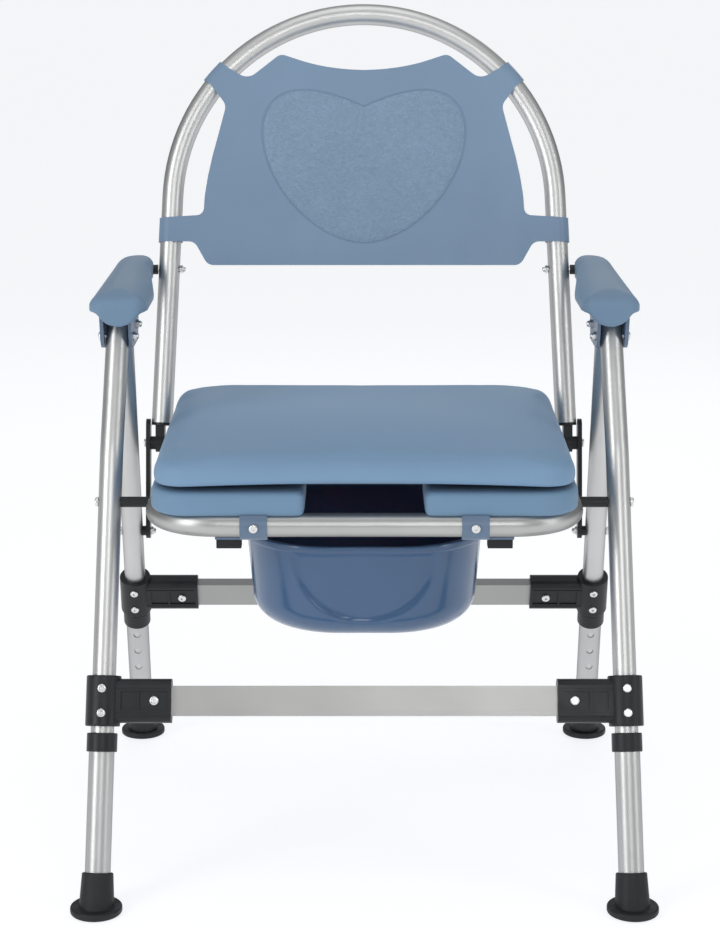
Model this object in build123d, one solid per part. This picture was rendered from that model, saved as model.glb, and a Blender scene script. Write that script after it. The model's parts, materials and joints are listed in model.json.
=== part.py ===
from build123d import *
from math import acos, atan2, cos, degrees, pi, radians, sin, sqrt
import os

# Folding bedside commode chair. Millimetres, +Z up, the sitter faces -Y, left is the sitter's left (+X).
# Side-view places are (y, z) with y counted rearward from the front feet; at() moves them into the
# model's frame, whose origin is on the floor at the centre of the chair's footprint.

# ---- driving dimensions: tubes and legs ----
TUBE_R = 12.5
TUBE_WALL = 1.5
TUBE_BORE = TUBE_R - TUBE_WALL
SLIDE_GAP = 0.08
LOWER_R = 13.6
LOWER_BORE = TUBE_R + SLIDE_GAP
PIVOT_GAP = 0.05

FRONT_FOOT = (283.3, 0, 0)
FRONT_BEND = (274.2, 176, 460)
FRONT_TOP = (271.0, 234, 575)
FRONT_BEND_R = 160
REAR_FOOT = (284.8, 544, 0)
REAR_TOP = (270.5, 272, 582)
TOP_STUB = 13
LEG_REACH = 640

# ---- pivots in the side view (y, z) ----
SEAT_PIVOT = (156, 407)
HOOP_PIVOT = (480, 612)
HOOP_END = (425, 411)
LINK_PIVOT = (399.6, 309)

# ---- telescopic legs, distances along each leg from the floor ----
COLLAR_TOP = {"front": 187.7, "rear": 215.5}
COLLAR_LENGTH = 20
COLLAR_R = 16.3
COLLAR_LIP = 2
FIRST_HOLE = 12.7
HOLE_PITCH = 27
HOLE_COUNT = 5
HOLE_R = 4.3
BUTTON_R = 4.0
BUTTON_PROUD = 2.4
BUTTON_TRAVEL = 4.0
BUTTON_FLANGE_R = 5.2
TUBE_PAST_BUTTON = 14
SPRING_THICK = 0.8
SPRING_WIDTH = 6

# ---- feet ----
FOOT_FLANGE_R = 27.5
FOOT_FLANGE_H = 8
FOOT_BOOT_R = 17.5
FOOT_BOOT_TOP_R = 16.6
FOOT_HEIGHT = 41
FOOT_FLOOR = 7

# ---- crossbar connectors, distances along each leg from the floor ----
SLEEVE_CENTRE = {"front": 221.7, "rear": 243.0}
SLEEVE_LENGTH = {"front": 54, "rear": 52}
SLEEVE_R = 18.6
ARM_HEIGHT = {"front": 47, "rear": 43}
ARM_DEPTH = 24
ARM_END_X = {"front": 206, "rear": 203}
ARM_BOLT_X = {"front": 224, "rear": 222}
ARM_ROUND = 8
PANEL_DEPTH = 1.6
PANEL_HEIGHT = 20
RIB_WIDTH = 2
BAR_HEIGHT = 32
BAR_DEPTH = 12.5
BAR_WALL = 1.5
BAR_END_X = 254
SCREW_SPREAD = 13

# ---- fasteners ----
SCREW_R = 2.5
SCREW_HEAD_R = 4.7
SCREW_HEAD_H = 2.6
SCREW_DEPTH = 10
BOLT_R = 3.0
BOLT_HEAD_R = 5.2
BOLT_HEAD_H = 3.4
FLAT_HEAD_R = 4.6
NUT_HEX = 5.0
NUT_H = 5
SOCKET_R = 1.9
SOCKET_DEPTH = 1.6

# ---- seat frame and pads ----
SEAT_X = 221
SEAT_FRONT_Y = 60
SEAT_END_Y = 441
SEAT_Z = SEAT_PIVOT[1]
SEAT_CORNER_R = 66
CROSS_TUBE_Y = 395
WELD = 0.2
SPACER_R = 5.8
RING_HALF = 225
RING_Y = (54, 426)
RING_Z = (420, 448)
RING_CORNER_R = 42
RING_BASE_H = 4
PAD_WRAP = 10
BASE_GAP = 0.3
RING_LIFT = 0.5
HORN_R = 7
SLOT_HALF = 61.6
HOLE_HALF = (100, 128)
HOLE_Y = 245
LID_HALF = 222
LID_Z = (450, 480)
LID_TOP_ROUND = 12
LID_HINGE = (434, 449)
HINGE_X = 85
HINGE_LUG = 12
HINGE_KNUCKLE = 26
HINGE_BARREL_R = 7

# ---- pail and its rails ----
PAIL_Y = 245
PAIL_TOP = 368
PAIL_BOTTOM = 260
PAIL_HALF_TOP = 130.5
PAIL_HALF_BOTTOM = 121
PAIL_EDGE_R = 32
PAIL_EDGE_TURNS = (0, 15, 30, 45, 60, 75, 90)
PAIL_CORNER = 0.72
PAIL_WALL = 2.4
LIP_H = 8
LIP_OUT = 1.6
WING_X = (126.5, 150)
WING_Z = (379.2, 382)
WING_HALF_LENGTH = 80
RAIL_X = (131.5, 156)
RAIL_Z = (376, 393.5)
RAIL_WALL = 2.5
RAIL_Y = (92, 392)
STOP_Y = (80, 92)
CLIP_X = (101, 129.5)
CLIP_WALL = 3
RAIL_CUT_X = (90, 180)

# ---- armrests ----
EAR_X = (254, 257.5, 284.5, 288.5)
BRACKET_TOP = 620
BRACKET_PLATE = 3
BRACKET_Y = (208, 489)
PAD_TOP = 630
PAD_SKIRT = 607
PAD_Y = (188, 491)
PAD_OUTER_X = 298
PAD_INNER_X = (235, 252.4)
PAD_TAPER_Y = (285, 432)
PAD_CORNERS = (17, 15, 14, 40, 60, 17)
PAD_TOP_ROUND = 12
NOSE_R = 25
NOSE_CENTRE = (266, 617)
NOSE_DEPTH = 17

# ---- back hoop and backrest sheet ----
HOOP_LEAN = 15
HOOP_RADIUS = 230
HOOP_RISE = 78
HOOP_END_X = 243
HOOP_CUT = 24
EYE_X = (238.5, 255.2)
EYE_R = 11
SHEET = 4.5
TAB_WALL = 2
LOW_TAB = (232, 47)
HIGH_TAB = (172.5, 230)
HIGH_TAB_TURN = 41.4
TAB_BOX = (50, 29, 60)
SHEET_DIP = 238
SHEET_RISE = 16.5
SHEET_RISE_X = 93
SHEET_TOP_STEPS = (22, 44, 66)
SHEET_TOP_ROUND = 190
SHEET_WAIST = 27
SHEET_WAIST_X = 192
SHEET_WAIST_Y = (70, 190)
SHEET_SIDE_STEPS = (160, 135, 111, 87)
SHEET_SIDE_ROUND = 90
HEART_HALF_WIDTH = 117
HEART_DROP = 83
HEART_LOBE = 71.5
HEART_TAPER = 0.33
HEART_Y = 112
GROOVE = 1.4
GROOVE_DEPTH = 0.6

# ---- fold links ----
LINK_X = (255.5, 260.5)
LINK_HALF_WIDTH = 9
LINK_TAIL = 20
SIDE_CLEAR = 0.3
HOOP_SIDE_CLEAR = 1

Y_MIN = -FOOT_FLANGE_R
HOOP_TOP_Y = HOOP_PIVOT[0] + (HOOP_RISE + HOOP_RADIUS) * sin(radians(HOOP_LEAN)) + TUBE_R
Y_MAX = max(REAR_FOOT[1] + FOOT_FLANGE_R, HOOP_TOP_Y)
Y_MID = (Y_MIN + Y_MAX) / 2

SIDES = {"left": 1, "right": -1}

# ---- spans of the cutting shapes, wider than anything they cut on the left side ----
CUT_X = (190, 320)
CUT_Y = (0, 640)
CUT_TOP = 700


def at(x, y, z):
    """A point given with y from the front feet, in the model's frame."""
    return Vector(x, y - Y_MID, z)


def on_side(shape, sign):
    """The shape itself for the left side, its mirror image for the right."""
    return shape if sign > 0 else mirror(shape, about=Plane.YZ)


def rod(start, end, radius):
    axis = end - start
    plane = Plane(origin=start, z_dir=axis)
    return plane * Cylinder(radius, axis.length, align=(Align.CENTER, Align.CENTER, Align.MIN))


def pipe(start, end, outer, inner):
    return rod(start, end, outer) - rod(start, end, inner)


def x_rod(x0, x1, place, radius):
    """A cylinder along X at a side-view place (y, z)."""
    return rod(at(x0, *place), at(x1, *place), radius)


def block(x, y, z):
    """A box between two corners, each axis given as a (low, high) pair."""
    size = [high - low for low, high in (x, y, z)]
    low = at(x[0], y[0], z[0])
    return Pos(low) * Box(*size, align=(Align.MIN, Align.MIN, Align.MIN))


def side_plate(points, radii, x0, x1):
    """A plate across X with a side-view outline whose corners are rounded one by one."""
    outline = [at(x0, y, z) for y, z in points]
    face = make_face(Polyline(*outline, close=True))
    for corner, radius in zip(outline, radii):
        if radius:
            vertex = face.vertices().sort_by_distance(corner)[0]
            face = fillet(vertex, radius)
    return extrude(face, amount=x1 - x0, dir=(1, 0, 0))


def fuse(shapes):
    result = shapes[0]
    for shape in shapes[1:]:
        result = result + shape
    return result


# ---------------------------------------------------------------- legs
class Leg:
    """One left leg: its straight lower axis, and distances along it from the floor."""

    def __init__(self, name, foot, upper, hole_side):
        self.name = name
        self.foot = at(*foot)
        self.axis = (at(*upper) - self.foot).normalized()
        flat = Vector(0, self.axis.Y, self.axis.Z).normalized()
        self.up = flat
        self.normal = Vector(0, flat.Z, -flat.Y) * hole_side
        self.button = COLLAR_TOP[name] - COLLAR_LENGTH - FIRST_HOLE - HOLE_PITCH * (HOLE_COUNT - 1)
        self.tube_end = self.button - TUBE_PAST_BUTTON

    def point(self, distance):
        return self.foot + self.axis * distance


FRONT = Leg("front", FRONT_FOOT, FRONT_BEND, 1)
REAR = Leg("rear", REAR_FOOT, REAR_TOP, -1)
LEGS = (FRONT, REAR)


def leg_hole(leg, distance, radius):
    """A round cutter through one wall of a leg, on the side that carries the holes."""
    centre = leg.point(distance)
    return rod(centre, centre + leg.normal * (LOWER_R * 2), radius)


def front_leg_path():
    top = at(*FRONT_TOP)
    bend = at(*FRONT_BEND)
    stub = top + (top - bend).normalized() * TOP_STUB
    return FilletPolyline(FRONT.point(FRONT.tube_end), bend, stub, radius=FRONT_BEND_R)


def rear_leg_ends():
    return REAR.point(REAR.tube_end), at(*REAR_TOP) + REAR.axis * TOP_STUB


def swept_rod(path, radius):
    return sweep(Plane(origin=path @ 0, z_dir=path % 0) * Circle(radius), path=path)


def swept_tube(path, outer, inner):
    section = Plane(origin=path @ 0, z_dir=path % 0) * (Circle(outer) - Circle(inner))
    return sweep(section, path=path)


def front_leg():
    tube = swept_tube(front_leg_path(), TUBE_R, TUBE_BORE)
    tube -= x_rod(*CUT_X, SEAT_PIVOT, BOLT_R)
    tube -= x_rod(*CUT_X, FRONT_TOP[1:], BOLT_R + PIVOT_GAP)
    tube -= fuse(connector_screw_bodies(FRONT))
    return tube - leg_hole(FRONT, FRONT.button, BUTTON_R + PIVOT_GAP)


def rear_leg():
    start, end = rear_leg_ends()
    tube = pipe(start, end, TUBE_R, TUBE_BORE)
    tube -= x_rod(*CUT_X, REAR_TOP[1:], BOLT_R + PIVOT_GAP)
    tube -= x_rod(*CUT_X, LINK_PIVOT, BOLT_R)
    tube -= fuse(connector_screw_bodies(REAR))
    return tube - leg_hole(REAR, REAR.button, BUTTON_R + PIVOT_GAP)


def leg_plug(end, direction):
    """A shallow plastic plug in the open top of a leg tube."""
    stem = rod(end - direction * 6, end, TUBE_BORE)
    cap = rod(end, end + direction * 1.6, TUBE_R - 0.8)
    return stem + cap


def lower_leg(leg):
    top = COLLAR_TOP[leg.name] - COLLAR_LIP
    tube = pipe(leg.point(FOOT_FLOOR), leg.point(top), LOWER_R, LOWER_BORE)
    for index in range(HOLE_COUNT):
        tube -= leg_hole(leg, leg.button + HOLE_PITCH * index, HOLE_R)
    return tube


def leg_collar(leg):
    top = COLLAR_TOP[leg.name]
    body = rod(leg.point(top - COLLAR_LENGTH), leg.point(top), COLLAR_R)
    body = fillet(body.edges().filter_by(GeomType.CIRCLE), 1.2)
    body -= rod(leg.point(top - COLLAR_LENGTH), leg.point(top - COLLAR_LIP), LOWER_R)
    return body - rod(leg.point(top - COLLAR_LENGTH), leg.point(top), LOWER_BORE)


def foot(leg):
    """A rubber foot: a wide flat flange on the floor and a boot round the tube."""
    boot_end = leg.point(FOOT_HEIGHT)
    boot = Plane(origin=leg.foot, z_dir=leg.axis) * Cone(
        FOOT_BOOT_R + 1.5, FOOT_BOOT_TOP_R, FOOT_HEIGHT, align=(Align.CENTER, Align.CENTER, Align.MIN)
    )
    boot = fillet(boot.edges().sort_by_distance(boot_end)[0], 1.5)
    boot -= Pos(leg.foot) * Box(
        4 * FOOT_BOOT_R, 4 * FOOT_BOOT_R, FOOT_HEIGHT, align=(Align.CENTER, Align.CENTER, Align.MAX)
    )
    flange = Pos(leg.foot) * Cylinder(FOOT_FLANGE_R, FOOT_FLANGE_H, align=(Align.CENTER, Align.CENTER, Align.MIN))
    flange = fillet(flange.edges().filter_by(GeomType.CIRCLE), 2.5)
    body = flange + boot
    return body - rod(leg.point(FOOT_FLOOR), leg.point(FOOT_HEIGHT + 5), LOWER_R)


def spring_button(leg):
    """A domed button with an inner flange that keeps it in the tube."""
    centre = leg.point(leg.button)
    top = LOWER_R + BUTTON_PROUD
    flange_out = sqrt(TUBE_BORE**2 - BUTTON_FLANGE_R**2) - 0.2
    stem = rod(centre + leg.normal * (flange_out - 1.2), centre + leg.normal * top, BUTTON_R)
    stem = fillet(stem.edges().sort_by_distance(centre + leg.normal * top)[0], 1.8)
    flange = rod(centre + leg.normal * (flange_out - 1.2), centre + leg.normal * flange_out, BUTTON_FLANGE_R)
    return stem + flange


def button_spring(leg):
    """A bent leaf: one arm behind the button, the other against the far wall."""
    plane = Plane(origin=leg.point(leg.button), x_dir=leg.normal, z_dir=leg.normal.cross(leg.up))
    near = sqrt(TUBE_BORE**2 - BUTTON_FLANGE_R**2) - 0.2 - 1.2 - SPRING_THICK / 2
    far = -(sqrt(TUBE_BORE**2 - (SPRING_WIDTH / 2) ** 2) - SPRING_THICK / 2 - 0.1)
    sign = 1 if (plane.y_dir.dot(leg.up)) > 0 else -1
    path = FilletPolyline((near, -5 * sign), (near, 6 * sign), (0, 32 * sign), (far, -5 * sign), radius=4)
    leaf = trace(path, line_width=SPRING_THICK)
    return plane * extrude(leaf, amount=SPRING_WIDTH / 2, both=True)


# ---------------------------------------------------------------- fasteners
def button_screw(seat, direction, head_r, head_h, shank_r, depth):
    """A domed screw whose head stands on `seat`, pointing out along `direction`."""
    top = seat + direction * head_h
    head = rod(seat, top, head_r)
    head = fillet(head.edges().sort_by_distance(top)[0], head_h * 0.6)
    socket_plane = Plane(origin=top, z_dir=direction)
    socket = extrude(socket_plane * RegularPolygon(SOCKET_R, 6), amount=-SOCKET_DEPTH)
    return head + rod(seat - direction * depth, seat, shank_r) - socket


def screw_body(seat, direction, head_r, head_h, shank_r, depth):
    """The space a screw takes, for cutting its hole and the seat under its head."""
    return rod(seat, seat + direction * (head_h + 6), head_r) + rod(seat - direction * depth, seat, shank_r)


def cap_nut(x, place, inward):
    """A hexagon nut with a domed end, standing on the plane at x and pointing inward along X."""
    step = -1 if inward else 1
    plane = Plane(origin=at(x, *place), z_dir=(step, 0, 0))
    hexagon = plane * extrude(RegularPolygon(NUT_HEX, 6), amount=NUT_H * 0.6)
    dome = x_rod(x + step * NUT_H * 0.6, x + step * NUT_H * 1.3, place, NUT_HEX * 0.72)
    dome = fillet(dome.edges().sort_by_distance(at(x + step * NUT_H * 1.3, *place))[0], NUT_HEX * 0.5)
    return hexagon + dome - x_rod(x, x + step * NUT_H, place, BOLT_R)


def x_bolt(head_x, nut_x, place):
    """A bolt across X: domed head outside at head_x, cap nut inside at nut_x."""
    outward = Vector(1, 0, 0)
    length = head_x - nut_x + NUT_H
    bolt = button_screw(at(head_x, *place), outward, BOLT_HEAD_R, BOLT_HEAD_H, BOLT_R, length)
    return [bolt, cap_nut(nut_x, place, True)]


def washer(x0, x1, place, radius, bore=BOLT_R):
    return x_rod(x0, x1, place, radius) - x_rod(x0, x1, place, bore)


def both_sides(solids):
    """The left solids and their mirror images, kept as separate solids."""
    return Compound(children=[on_side(solid, sign) for sign in SIDES.values() for solid in solids])


# ---------------------------------------------------------------- crossbars and connectors
def connector_frame(leg):
    """Local frame at the sleeve's centre: x along X, z up the leg, y to the rear."""
    return Plane(origin=leg.point(SLEEVE_CENTRE[leg.name]), x_dir=(1, 0, 0), z_dir=leg.up)


def connector_screw_seats(leg):
    """Where the two screws stand on the front of the sleeve, and which way they face."""
    frame = connector_frame(leg)
    forward = frame.y_dir * -1
    surface = SLEEVE_R - 0.6
    spots = [leg.point(SLEEVE_CENTRE[leg.name] + offset) for offset in (-SCREW_SPREAD, SCREW_SPREAD)]
    return [spot + forward * surface for spot in spots], forward


def connector_screw_bodies(leg):
    seats, forward = connector_screw_seats(leg)
    return [screw_body(seat, forward, SCREW_HEAD_R, SCREW_HEAD_H, SCREW_R, SCREW_DEPTH) for seat in seats]


def arm_bolt_ends(leg):
    """The arm bolt's head seat and nut seat, front and rear of the arm."""
    frame = connector_frame(leg)
    x = ARM_BOLT_X[leg.name] - frame.origin.X
    front = frame.from_local_coords(Vector(x, PANEL_DEPTH - ARM_DEPTH / 2, 0))
    rear = frame.from_local_coords(Vector(x, ARM_DEPTH / 2, 0))
    return front, rear, frame.y_dir * -1


def arm_bolt(leg):
    front, rear, forward = arm_bolt_ends(leg)
    length = (rear - front).length + NUT_H * 0.8
    bolt = button_screw(front, forward, BOLT_HEAD_R, BOLT_HEAD_H, SCREW_R, length)
    nut = Plane(origin=rear, z_dir=forward * -1) * extrude(RegularPolygon(NUT_HEX * 0.9, 6), amount=NUT_H * 0.8)
    return [bolt, nut - rod(rear + forward, rear - forward * 20, SCREW_R)]


def connector(leg):
    """A moulded T: a sleeve round the leg and a ribbed arm that takes the crossbar."""
    frame = connector_frame(leg)
    name = leg.name
    reach = frame.origin.X - ARM_END_X[name]
    half = SLEEVE_LENGTH[name] / 2
    centre = SLEEVE_CENTRE[name]
    arm = Pos(-reach, 0, 0) * Box(
        reach, ARM_DEPTH, ARM_HEIGHT[name], align=(Align.MIN, Align.CENTER, Align.CENTER)
    )
    arm = fillet(arm.edges().filter_by(Axis.X), ARM_ROUND)
    for x0, x1 in ((-reach + 3, -reach + 34), (-reach + 36, -SLEEVE_R - 1)):
        panel = Pos((x0 + x1) / 2, -ARM_DEPTH / 2, 0) * Box(x1 - x0, PANEL_DEPTH * 2, PANEL_HEIGHT)
        arm -= panel
    for z in (-1, 1):
        groove = Pos(-reach / 2, -ARM_DEPTH / 2, z * (PANEL_HEIGHT / 2 + RIB_WIDTH + 0.6)) * Box(
            reach - 6, 1.2, 1.2
        )
        arm -= groove
    sleeve = rod(leg.point(centre - half), leg.point(centre + half), SLEEVE_R)
    sleeve = fillet(sleeve.edges().filter_by(GeomType.CIRCLE), 1.6)
    body = frame * arm + sleeve
    body -= rod(leg.point(centre - half - 1), leg.point(centre + half + 1), TUBE_R)
    body -= crossbar_outer(leg)
    for cutter in connector_screw_bodies(leg):
        body -= cutter
    front, rear, forward = arm_bolt_ends(leg)
    return body - rod(front + forward * 10, rear - forward * 10, SCREW_R)


def crossbar_frame(leg):
    middle = connector_frame(leg).origin
    return Plane(origin=(0, middle.Y, middle.Z), x_dir=(1, 0, 0), z_dir=leg.up)


def crossbar_outer(leg):
    return crossbar_frame(leg) * Box(2 * BAR_END_X, BAR_DEPTH, BAR_HEIGHT)


def crossbar(leg):
    """A flat rectangular tube across the chair, its ends inside the two connectors."""
    bore = Box(2 * BAR_END_X, BAR_DEPTH - 2 * BAR_WALL, BAR_HEIGHT - 2 * BAR_WALL)
    bar = crossbar_outer(leg) - crossbar_frame(leg) * bore
    front, rear, forward = arm_bolt_ends(leg)
    hole = rod(front + forward * 10, rear - forward * 10, SCREW_R)
    return bar - hole - mirror(hole, about=Plane.YZ)


# ---------------------------------------------------------------- seat
def seat_path():
    corners = [(SEAT_X, SEAT_END_Y), (SEAT_X, SEAT_FRONT_Y), (-SEAT_X, SEAT_FRONT_Y), (-SEAT_X, SEAT_END_Y)]
    return FilletPolyline(*[at(x, y, SEAT_Z) for x, y in corners], radius=SEAT_CORNER_R)


def seat_frame():
    """A bent U tube, open at the rear, with a straight tube welded across it."""
    path = seat_path()
    cross_ends = [at(x, CROSS_TUBE_Y, SEAT_Z) for x in (-SEAT_X, SEAT_X)]
    cross = pipe(*cross_ends, TUBE_R - WELD, TUBE_BORE) - swept_rod(path, TUBE_R - WELD)
    frame = swept_tube(path, TUBE_R, TUBE_BORE) + cross
    for sign in SIDES.values():
        frame -= on_side(x_rod(SEAT_X - 20, SEAT_X + 20, SEAT_PIVOT, BOLT_R + PIVOT_GAP), sign)
        frame -= on_side(x_rod(SEAT_X - 20, SEAT_X + 20, HOOP_END, BOLT_R), sign)
        frame -= on_side(clip_screw_body(), sign)
    return frame


def seat_plug():
    """A round plug in the rear end of the seat tube."""
    end = at(SEAT_X, SEAT_END_Y, SEAT_Z)
    back = Vector(0, 1, 0)
    return [rod(end - back * 8, end, TUBE_BORE) + rod(end, end + back * 2, TUBE_R - 0.5)]


def seat_pivot_hardware():
    """The bolt through the front leg and seat tube, and the black spacer between them."""
    leg_x = leg_centre_x(FRONT_FOOT, FRONT_BEND, SEAT_PIVOT[1])
    bolt = x_bolt(leg_x + TUBE_R + 0.3, SEAT_X - TUBE_R - 0.6, SEAT_PIVOT)
    spacer = washer(SEAT_X + TUBE_R + SIDE_CLEAR, leg_x, SEAT_PIVOT, SPACER_R)
    spacer -= rod(FRONT.foot, FRONT.point(LEG_REACH), TUBE_R)
    return bolt, [spacer]


def leg_centre_x(low, high, z):
    share = (z - low[2]) / (high[2] - low[2])
    return low[0] + (high[0] - low[0]) * share


def ring_outline(half, corner, front_y, rear_y):
    centre = at(0, (front_y + rear_y) / 2, 0)
    return Pos(centre) * RectangleRounded(2 * half, rear_y - front_y, corner)


def ring_hole(grow):
    """The oval hole and the slot that opens it to the front."""
    hole = Pos(at(0, HOLE_Y, 0)) * Ellipse(HOLE_HALF[0] + grow, HOLE_HALF[1] + grow)
    length = HOLE_Y - RING_Y[0] + 20
    slot = Pos(at(0, HOLE_Y - length / 2, 0)) * Rectangle(2 * (SLOT_HALF + grow), length)
    return hole + slot


def ring_shape(z0, z1, inset):
    outline = ring_outline(RING_HALF - inset, RING_CORNER_R, RING_Y[0] + inset, RING_Y[1] - inset)
    return Pos(0, 0, z0) * extrude(outline - ring_hole(inset), amount=z1 - z0)


def hinge_arms(half_width, z0, grow):
    """Flat arms that carry a pad's base out through the pad's rear wall to the hinges."""
    x = (HINGE_X - half_width - grow, HINGE_X + half_width + grow)
    arm = block(x, (RING_Y[1] - 2 * PAD_WRAP, RING_Y[1] + 0.5), (z0, z0 + RING_BASE_H + grow))
    return arm + mirror(arm, about=Plane.YZ)


def lug_half_width():
    return HINGE_KNUCKLE / 2 + SIDE_CLEAR + HINGE_LUG


def seat_ring_base():
    base = ring_shape(RING_Z[0], RING_Z[0] + RING_BASE_H, PAD_WRAP)
    return base + hinge_arms(lug_half_width(), RING_Z[0], 0)


def seat_ring_pad():
    """The soft U-shaped ring, wrapped over its base, with rounded edges and horn ends."""
    z0 = RING_Z[0] + RING_LIFT
    pad = ring_shape(z0, RING_Z[1], 0)
    horn_ends = pad.edges().filter_by(Axis.Z).group_by(Axis.Y)[0]
    pad = fillet(horn_ends, HORN_R)
    pad = fillet(pad.edges().group_by(Axis.Z)[-1], 3)
    pad -= ring_shape(z0, RING_Z[0] + RING_BASE_H + BASE_GAP, PAD_WRAP - BASE_GAP)
    return pad - hinge_arms(lug_half_width(), RING_Z[0], BASE_GAP)


def lid_plate(z0, z1, inset):
    outline = ring_outline(LID_HALF - inset, RING_CORNER_R, RING_Y[0] + inset - 1, RING_Y[1] - inset)
    return Pos(0, 0, z0) * extrude(outline, amount=z1 - z0)


def lid_base():
    """The lid's plastic base with its two hinge knuckles."""
    base = lid_plate(LID_Z[0], LID_Z[0] + RING_BASE_H, PAD_WRAP)
    for sign in SIDES.values():
        x0 = HINGE_X - HINGE_KNUCKLE / 2
        x1 = HINGE_X + HINGE_KNUCKLE / 2
        y = (RING_Y[1] - 2 * PAD_WRAP, LID_HINGE[0])
        arm = block((x0, x1), y, (LID_Z[0], LID_Z[0] + RING_BASE_H))
        barrel = x_rod(x0, x1, LID_HINGE, HINGE_BARREL_R)
        base += on_side(arm + barrel, sign)
        base -= on_side(x_rod(x0, x1, LID_HINGE, BOLT_R + PIVOT_GAP), sign)
    return base


def lid_pad():
    """The cover cushion, wrapped over its base, with a broad rounded top edge."""
    pad = lid_plate(LID_Z[0], LID_Z[1], 0)
    pad = fillet(pad.edges().group_by(Axis.Z)[-1], LID_TOP_ROUND)
    pad -= lid_plate(LID_Z[0], LID_Z[0] + RING_BASE_H + BASE_GAP, PAD_WRAP - BASE_GAP)
    reach = lug_half_width() + 1
    for sign in SIDES.values():
        barrel = x_rod(HINGE_X - reach, HINGE_X + reach, LID_HINGE, HINGE_BARREL_R + 1)
        pad -= on_side(barrel, sign)
    return pad - hinge_arms(HINGE_KNUCKLE / 2, LID_Z[0], BASE_GAP)


def hinge_lugs():
    """Two lugs for each hinge, standing on an arm of the seat ring's base."""
    lugs = []
    inner = HINGE_KNUCKLE / 2 + SIDE_CLEAR
    for x0 in (HINGE_X - inner - HINGE_LUG, HINGE_X + inner):
        x1 = x0 + HINGE_LUG
        post = block((x0, x1), (RING_Y[1], LID_HINGE[0] + 6), (RING_Z[0], LID_HINGE[1] - 3))
        lug = post + x_rod(x0, x1, LID_HINGE, HINGE_BARREL_R - 0.5)
        lug -= lid_sweep_clearance(x0, x1)
        lugs.append(lug - x_rod(x0, x1, LID_HINGE, BOLT_R))
    return both_sides(lugs)


def lid_sweep_clearance(x0, x1):
    """The space just in front of the lugs that the ring and the lid take up."""
    return block((x0, x1), (RING_Y[1] - 40, RING_Y[1] + 0.5), (RING_Z[0] - 1, LID_Z[1] + 20))


def hinge_pin():
    reach = HINGE_KNUCKLE / 2 + HINGE_LUG + SIDE_CLEAR
    return [x_rod(HINGE_X - reach - 1, HINGE_X + reach + 1, LID_HINGE, BOLT_R)]


# ---------------------------------------------------------------- pail and rails
def pail_section(z, half):
    return Pos(at(0, PAIL_Y, z)) * RectangleRounded(2 * half, 2 * half, half * PAIL_CORNER)


def pail_profile(z, shrink):
    """Half-width of the pail at a height: a straight draft above a rounded bottom edge."""
    draft = (PAIL_HALF_TOP - PAIL_HALF_BOTTOM) / (PAIL_TOP - PAIL_BOTTOM)
    straight = PAIL_HALF_BOTTOM + draft * (z - PAIL_BOTTOM)
    rise = max(PAIL_BOTTOM + PAIL_EDGE_R - z, 0) / PAIL_EDGE_R
    return straight - shrink - PAIL_EDGE_R * (1 - sqrt(1 - min(rise, 1) ** 2))


def pail_body(shrink, floor, top):
    """The pail's outer or inner form: a rounded lower part and a drafted upper part."""
    shift = floor - PAIL_BOTTOM
    edge = floor + PAIL_EDGE_R
    heights = [edge - PAIL_EDGE_R * cos(radians(turn)) for turn in PAIL_EDGE_TURNS]
    rounded = loft([pail_section(z, pail_profile(z - shift, shrink)) for z in heights])
    upper = loft([pail_section(z, pail_profile(z - shift, shrink)) for z in (edge, top)], ruled=True)
    return rounded + upper


def pail():
    """A deep rounded pail with a rolled lip and a hanging wing on each side."""
    shell = pail_body(0, PAIL_BOTTOM, PAIL_TOP) - pail_body(PAIL_WALL, PAIL_BOTTOM + PAIL_WALL, PAIL_TOP + 1)
    lip_half = PAIL_HALF_TOP + LIP_OUT
    lip = pail_section(PAIL_TOP - LIP_H, lip_half)
    lip = extrude(lip - pail_section(PAIL_TOP - LIP_H, PAIL_HALF_TOP - PAIL_WALL), amount=LIP_H)
    body = shell + lip
    length = (PAIL_Y - WING_HALF_LENGTH, PAIL_Y + WING_HALF_LENGTH)
    for sign in SIDES.values():
        riser = block((WING_X[0], WING_X[0] + 3), length, (PAIL_TOP - 2, WING_Z[1]))
        wing = block(WING_X, length, WING_Z)
        body += on_side(riser + wing, sign)
    return body


def clip_screw_seat():
    return at(sum(CLIP_X) / 2, SEAT_FRONT_Y - TUBE_R - CLIP_WALL, SEAT_Z)


def clip_screw_body():
    return screw_body(clip_screw_seat(), Vector(0, -1, 0), SCREW_HEAD_R, SCREW_HEAD_H, SCREW_R, SCREW_DEPTH)


def clip_screw():
    size = (SCREW_HEAD_R, SCREW_HEAD_H, SCREW_R, SCREW_DEPTH)
    return [button_screw(clip_screw_seat(), Vector(0, -1, 0), *size)]


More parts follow.
